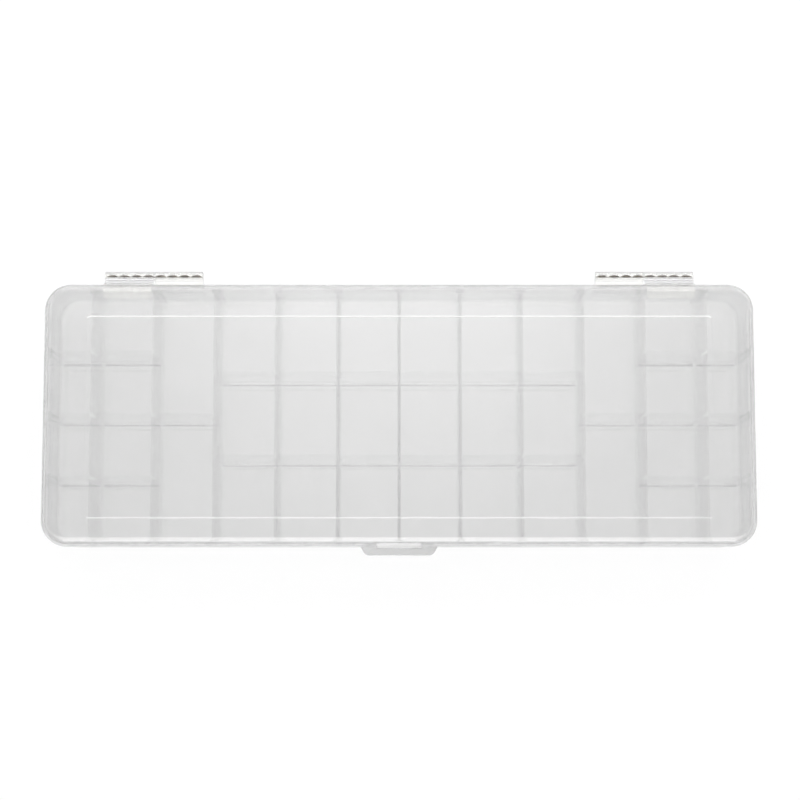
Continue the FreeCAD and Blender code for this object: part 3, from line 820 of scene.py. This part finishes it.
def pin_metal():
    """Drawn wire that has gone dull and brown, brighter where it rubs."""
    made = bpy.data.materials.get("pin metal")
    if made:
        return made
    finish = bpy.context.scene.box_finish
    made, tree = new_material("pin metal")
    spot = object_spot(tree)
    wear = haze(tree, spot, PATINA_SCALE, (0.0, 1.0))
    body = tree.out("ShaderNodeBsdfPrincipled", {
        "Base Color": tree.blend(wear, (*finish.pin_dark, 1.0), (*finish.pin_light, 1.0)), "Metallic": 0.8,
        "Roughness": tree.ramp(wear, 0.0, 1.0, *PIN_ROUGHNESS),
        "Normal": relief(tree, spot, PIN_FLOW_SCALE, flow=0.3, scratches=0.3, strength=0.4, depth=PIN_DEPTH)})
    tree.add("ShaderNodeOutputMaterial", {"Surface": body})
    return made


def even_pitch(names, axis):
    """Even distance between the dividers of those names."""
    middles = sorted((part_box(n)[0][axis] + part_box(n)[1][axis]) / 2 for n in names)
    return (middles[-1] - middles[0]) / (len(middles) - 1)


def crossings(low, high, others, along, across):
    """Middles of the dividers that cross one, as places along it."""
    found = []
    for name in others:
        other_low, other_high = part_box(name)
        middle = (low[across] + high[across]) / 2
        spot = (other_low[along] + other_high[along]) / 2
        if low[along] < spot < high[along] and other_low[across] - MM < middle < other_high[across] + MM:
            found.append(spot)
    return sorted(found)


class BOX_OT_tray(bpy.types.Operator):
    """Makes the tray with its rim, its divider guides and its thumb ledge"""
    bl_idname = "storage_box.tray"
    bl_label = "Tray"

    def execute(self, context):
        size = context.scene.box_tray
        rings = shell_rings(TRAY_HIGH.x, TRAY_HIGH.y, size.corner, self.section(size))
        tray = mesh_object("tray_shell", skin(rings))
        fuse(tray, *self.guides(size), self.ledge(size))
        place(smooth(tray), "base_tray", "tray", tray_plastic())
        return {"FINISHED"}

    @staticmethod
    def section(size):
        """Profile of the wall: up its outside, over the step and the rim, and down to the floor inside."""
        step, rim, inner = size.edge_round, size.rim_setback, size.wall
        floor_round = size.floor_round
        hollow = step * STEP_HOLLOW_SHARE
        rim_round = min(step, (inner - rim) * RIM_ROUND_SHARE)
        profile = arc((size.foot_round, 0.0), (0.0, size.foot_round), True)
        profile += arc((0.0, size.parting - step), (step, size.parting), False, 3)
        profile += arc((rim - hollow, size.parting), (rim, size.parting + hollow), True, 3)
        profile += arc((rim, size.rim_top - rim_round), (rim + rim_round, size.rim_top), False, 3)
        profile += arc((inner - rim_round, size.rim_top), (inner, size.rim_top - rim_round), True, 3)
        profile += arc((inner, size.floor + floor_round), (inner + floor_round, size.floor), False, 4)
        return profile

    @staticmethod
    def guides(size):
        """Divider guides on the long walls and on the end walls."""
        tree = rib_tree()
        walls = (("long", COLUMNS, 0, TRAY_HIGH.y, 0.0), ("end", END_ROWS, 1, TRAY_HIGH.x, math.pi / 2))
        return [run_tree(tree, "guides_" + name, {
            "Count": len(dividers), "Pitch": even_pitch(dividers, axis), "Spread": size.rib_spread,
            "Wall": outside - size.wall, "Width": size.rib_width, "Root": RIB_ROOT,
            "Low": size.floor - RIB_SINK, "High": size.rib_top, "Turn": (0.0, 0.0, turn),
            "Material": tray_plastic()}) for name, dividers, axis, outside, turn in walls]

    @staticmethod
    def ledge(size):
        """The thumb ledge, with round outer corners and soft edges."""
        half = size.ledge_root / 2
        ledge = mesh_object("ledge", slab((-half, TRAY_LOW.y, size.ledge_low),
                                          (half, LEDGE_ROOT_DEPTH - TRAY_HIGH.y, size.ledge_high),
                                          half - size.ledge_tip / 2, "-Y"))

        def is_outer_corner(edge):
            first, second = (v.co for v in edge.verts)
            return max(first.y, second.y) < TRAY_LOW.y + FRONT_BAND and abs(first.z - second.z) > MM

        round_edges(ledge, size.ledge_corner, segments=6, pick=is_outer_corner)
        return round_edges(ledge, size.ledge_round, segments=4, degrees=40.0)


class BOX_OT_lid(bpy.types.Operator):
    """Makes the lid with its raised panel and its latch tongue"""
    bl_idname = "storage_box.lid"
    bl_label = "Lid"

    def execute(self, context):
        size = context.scene.box_lid
        skirt = shell_rings(LID_HIGH.x, LID_HIGH.y, size.corner, self.section(size))
        lid = mesh_object("lid_shell", skin(self.panel(size) + skirt))
        fuse(lid, self.tongue(size))
        place(smooth(lid), "lid", "lid", lid_plastic())
        # painted highlight: the faces on the back slope of the panel's edge get the milky step plastic
        lid.data.materials.append(highlight_step_plastic())
        least, most = HIGHLIGHT_LEAN
        for face in lid.data.polygons:
            if face.center.z > size.deck + size.panel_foot and least < face.normal.y < most:
                face.material_index = 1
        return {"FINISHED"}

    @staticmethod
    def panel(size):
        """Rings of the raised panel, from its top down its sloping facet to the deck."""
        slope, drop, foot = size.panel_slope, size.panel_drop, size.panel_foot
        profile = [(slope * inset, LID_HIGH.z - drop * fall) for inset, fall in PANEL_EDGE]
        profile += arc((0.0, size.deck + foot), (-foot, size.deck), False, 3)
        return [rounded_ring(size.panel_length / 2 - inset, size.panel_width / 2 - inset,
                             size.panel_corner - inset, height, -size.panel_setback)
                for inset, height in profile]

    @staticmethod
    def section(size):
        """Profile of the skirt: down its round outside, round its lower edge, and up its inside."""
        lip, wall, foot = size.lip_round, size.skirt, size.skirt_foot
        inner = size.inner_round
        profile = arc((size.edge_round, size.deck), (0.0, size.deck - size.edge_round), True, 10)
        profile += arc((0.0, foot + lip), (lip, foot), False, 3)
        profile += arc((wall - lip, foot), (wall, foot + lip), True, 3)
        profile += arc((wall, size.ceiling - inner), (wall + inner, size.ceiling), False, 6)
        return profile

    @staticmethod
    def tongue(size):
        """The latch tongue, whose upper end falls towards the front."""
        half = size.tongue_width / 2
        tongue = mesh_object("tongue", slab((-half, LID_LOW.y, LID_LOW.z),
                                            (half, -size.tongue_root, size.tongue_top),
                                            size.tongue_taper, "-Z"))
        for vertex in tongue.data.vertices:
            if vertex.co.z > size.skirt_foot and vertex.co.y < -LID_HIGH.y:
                vertex.co.z -= size.tongue_slope
        return round_edges(tongue, size.tongue_round)


class BOX_OT_dividers(bpy.types.Operator):
    """Makes the slotted dividers, each as a piece of its own"""
    bl_idname = "storage_box.dividers"
    bl_label = "Dividers"

    def execute(self, context):
        size = context.scene.box_divider
        tree = plate_tree()
        for name in COLUMNS + ROWS:
            low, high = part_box(name)
            is_column = name in COLUMNS
            along, across = (1, 0) if is_column else (0, 1)
            slots = crossings(low, high, ROWS if is_column else COLUMNS, along, across)
            if not slots:
                raise RuntimeError(name + " crosses no other divider")
            middle = (low[across] + high[across]) / 2
            plastic = column_plastic() if is_column else row_plastic()
            plate = run_tree(tree, name.replace("divider", "plate"), {
                "Low End": low[along], "High End": high[along], "Foot": low.z + size.foot_gap, "Top": high.z,
                "Half Lap": size.lap + (-0.5 if is_column else 0.5) * size.lap_gap,
                "Thickness": high[across] - low[across],
                "Foot Flare": 0.0 if is_column else size.row_flare,
                "Foot Lip": 0.0 if is_column else size.row_lip,
                "Foot Step": size.foot_step, "Foot Height": size.foot_height, "Foot Corner": size.foot_corner,
                "First Slot": slots[0], "Slot Count": len(slots),
                "Slot Pitch": (slots[-1] - slots[0]) / max(len(slots) - 1, 1),
                "Slot Width": size.slot_width, "From Above": 1.0 if is_column else 0.0,
                "Turn": (0.0, 0.0, math.pi / 2 if is_column else 0.0),
                "Place": (middle, 0.0, 0.0) if is_column else (0.0, middle, 0.0), "Material": plastic})
            round_edges(plate, size.edge_round, segments=7, degrees=70.0,
                        pick=lambda edge: min(v.co.z for v in edge.verts) > low.z + MM)
            place(smooth(plate, 15.0), name, "tray", plastic)
        return {"FINISHED"}


class BOX_OT_leaves(bpy.types.Operator):
    """Makes the four hinge leaves from their CAD shapes, with their edges rounded"""
    bl_idname = "storage_box.leaves"
    bl_label = "Hinge leaves"

    def execute(self, context):
        size = context.scene.box_hinge
        flat = math.radians(FLAT_DEGREES)
        for body in ("lid", "tray"):
            for side in SIDES:
                node = f"{body}_hinge_leaf_{side}"
                bm = bmesh.new()
                bm.from_mesh(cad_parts[node].data)
                bmesh.ops.remove_doubles(bm, verts=bm.verts, dist=LEAF_WELD)
                bmesh.ops.dissolve_limit(bm, angle_limit=flat, verts=bm.verts, edges=bm.edges)
                leaf = mesh_object(f"{body}_leaf_{side}", bm)
                round_edges(leaf, size.edge_round, segments=2, degrees=40.0)
                normals = [v.normal.copy() for v in leaf.data.vertices]
                for vertex, normal in zip(leaf.data.vertices, normals):
                    vertex.co -= normal * size.skin_gap
                place(smooth(leaf), node, body, leaf_plastic(body))
        return {"FINISHED"}


class BOX_OT_pins(bpy.types.Operator):
    """Makes the two crimped hinge pins"""
    bl_idname = "storage_box.pins"
    bl_label = "Hinge pins"

    def execute(self, context):
        size = context.scene.box_hinge
        tree = wire_tree()
        for side in SIDES:
            node = "hinge_pin_" + side
            low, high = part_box(node)
            middle = (low + high) / 2
            wire = run_tree(tree, "pin_wire_" + side, {
                "Low End": low.x, "High End": high.x, "Radius": size.wire_radius, "Thin": size.wire_thin,
                "Wave": size.wire_wave, "Period": size.wire_period, "Steps": WIRE_STEPS, "Sides": WIRE_SIDES,
                "Place": (0.0, middle.y, middle.z), "Material": pin_metal()})
            place(smooth(wire, 60.0), node, "tray", pin_metal())
        return {"FINISHED"}


class BOX_OT_stage(bpy.types.Operator):
    """Makes the floor, the light and the camera"""
    bl_idname = "storage_box.stage"
    bl_label = "Stage"

    def execute(self, context):
        scene, look = context.scene, context.scene.box_stage
        self.floor(look)
        self.world(scene, look)
        self.lamp(look)
        self.camera(scene, look)
        scene.view_settings.view_transform = "Standard"
        scene.cycles.max_bounces = BOUNCES
        scene.cycles.transmission_bounces = BOUNCES
        scene.cycles.transparent_max_bounces = CLEAR_BOUNCES
        return {"FINISHED"}

    @staticmethod
    def floor(look):
        """A wide pale table that shows as white to the camera and keeps the box's shadow."""
        bm = bmesh.new()
        bmesh.ops.create_grid(bm, x_segments=1, y_segments=1, size=TABLE_HALF)
        bmesh.ops.translate(bm, verts=bm.verts, vec=(0.0, 0.0, -TABLE_DROP))
        table = mesh_object("table", bm)
        material, tree = new_material("table")
        matt = tree.out("ShaderNodeBsdfDiffuse", {"Color": (*look.floor_colour, 1.0)})
        white = tree.out("ShaderNodeEmission", {"Color": (1.0, 1.0, 1.0, 1.0), "Strength": 1.0})
        ray = tree.add("ShaderNodeLightPath").outputs
        through = tree.calc("MAXIMUM", ray["Is Glossy Ray"], ray["Is Transmission Ray"])
        seen = tree.calc("MULTIPLY", tree.calc("MAXIMUM", ray["Is Camera Ray"], through), look.floor_white)
        both = tree.out("ShaderNodeMixShader", {0: seen, 1: matt, 2: white})
        tree.add("ShaderNodeOutputMaterial", {"Surface": both})
        table.data.materials.append(material)

    @staticmethod
    def world(scene, look):
        """Soft white room light. In reflections it is greyer overhead and brighter high up before the box."""
        scene.world = bpy.data.worlds.new("studio")
        scene.world.use_nodes = True
        scene.world.node_tree.nodes.clear()
        tree = Tree(scene.world.node_tree)
        toward = tree.split(tree.add("ShaderNodeTexCoord").outputs["Generated"])
        sideways = tree.calc("ABSOLUTE", toward["X"])
        around = tree.ramp(toward["Y"], *ROOM_AROUND)
        behind = tree.ramp(toward["Y"], *ROOM_BEHIND)
        aside = tree.ramp(sideways, *ROOM_ASIDE)
        high = tree.ramp(toward["Z"], *ROOM_HIGH)
        room = tree.mix(high, around, tree.calc("MULTIPLY", behind, aside))
        before = tree.ramp(toward["Y"], *GLOW_BEFORE)
        above = tree.ramp(toward["Z"], *GLOW_ABOVE)
        midst = tree.ramp(sideways, *GLOW_MIDST)
        glow = tree.calc("MULTIPLY", tree.calc("MULTIPLY", before, above), midst)
        room = tree.mix(glow, room, look.front_glow)
        ray = tree.add("ShaderNodeLightPath").outputs
        plain = tree.calc("MAXIMUM", ray["Is Camera Ray"], ray["Is Diffuse Ray"])
        sky = tree.out("ShaderNodeBackground", {"Color": tree.mix(plain, room, 1.0), "Strength": 1.0})
        tree.add("ShaderNodeOutputWorld", {"Surface": sky})

    @staticmethod
    def lamp(look):
        """A long softbox behind the box, aimed at its middle and left out of reflections."""
        data = bpy.data.lights.new("back_softbox", "AREA")
        data.shape = "RECTANGLE"
        data.size, data.size_y = LAMP_SIZE
        data.energy = look.back_power
        lamp = link(bpy.data.objects.new("back_softbox", data))
        lamp.location = LAMP_PLACE
        lamp.rotation_euler = (-Vector(LAMP_PLACE)).to_track_quat("-Z", "Y").to_euler()
        lamp.visible_glossy = False

    @staticmethod
    def camera(scene, look):
        """A camera that looks down on the shut lid, nearly upright."""
        camera = link(bpy.data.objects.new("camera", bpy.data.cameras.new("camera")))
        camera.data.lens = look.lens
        camera.data.sensor_width = SENSOR_WIDTH
        camera.data.shift_y = CAMERA_SHIFT
        camera.location = CAMERA_PLACE
        camera.rotation_euler = (CAMERA_TILT, 0.0, 0.0)
        scene.camera = camera


class BOX_PT_panel(bpy.types.Panel):
    """Lists the pieces and the sizes that a user would change"""
    bl_idname = "BOX_PT_panel"
    bl_label = "Storage Box"
    bl_space_type = "VIEW_3D"
    bl_region_type = "UI"
    bl_category = "Storage Box"

    def draw(self, context):
        for maker in MAKERS:
            self.layout.operator(maker.bl_idname)
        for name, kind in SETTINGS.items():
            group = getattr(context.scene, name)
            box = self.layout.box()
            for key in kind.__annotations__:
                box.prop(group, key)


MAKERS = (BOX_OT_tray, BOX_OT_lid, BOX_OT_dividers, BOX_OT_leaves, BOX_OT_pins, BOX_OT_stage)
SETTINGS = {"box_tray": TraySizes, "box_lid": LidSizes, "box_divider": DividerSizes, "box_hinge": HingeSizes,
            "box_finish": Finishes, "box_stage": StageLook}


def register():
    """Registers the settings, the operators and the panel."""
    for name, kind in SETTINGS.items():
        bpy.utils.register_class(kind)
        setattr(bpy.types.Scene, name, PointerProperty(type=kind))
    for kind in MAKERS + (BOX_PT_panel,):
        bpy.utils.register_class(kind)


def unregister():
    """Takes everything back that register made."""
    for kind in (BOX_PT_panel,) + MAKERS[::-1]:
        bpy.utils.unregister_class(kind)
    for name, kind in SETTINGS.items():
        delattr(bpy.types.Scene, name)
        bpy.utils.unregister_class(kind)


def main():
    register()
    bpy.ops.storage_box.tray()
    bpy.ops.storage_box.lid()
    bpy.ops.storage_box.dividers()
    bpy.ops.storage_box.leaves()
    bpy.ops.storage_box.pins()
    bpy.ops.storage_box.stage()


if __name__ == "__main__":
    main()
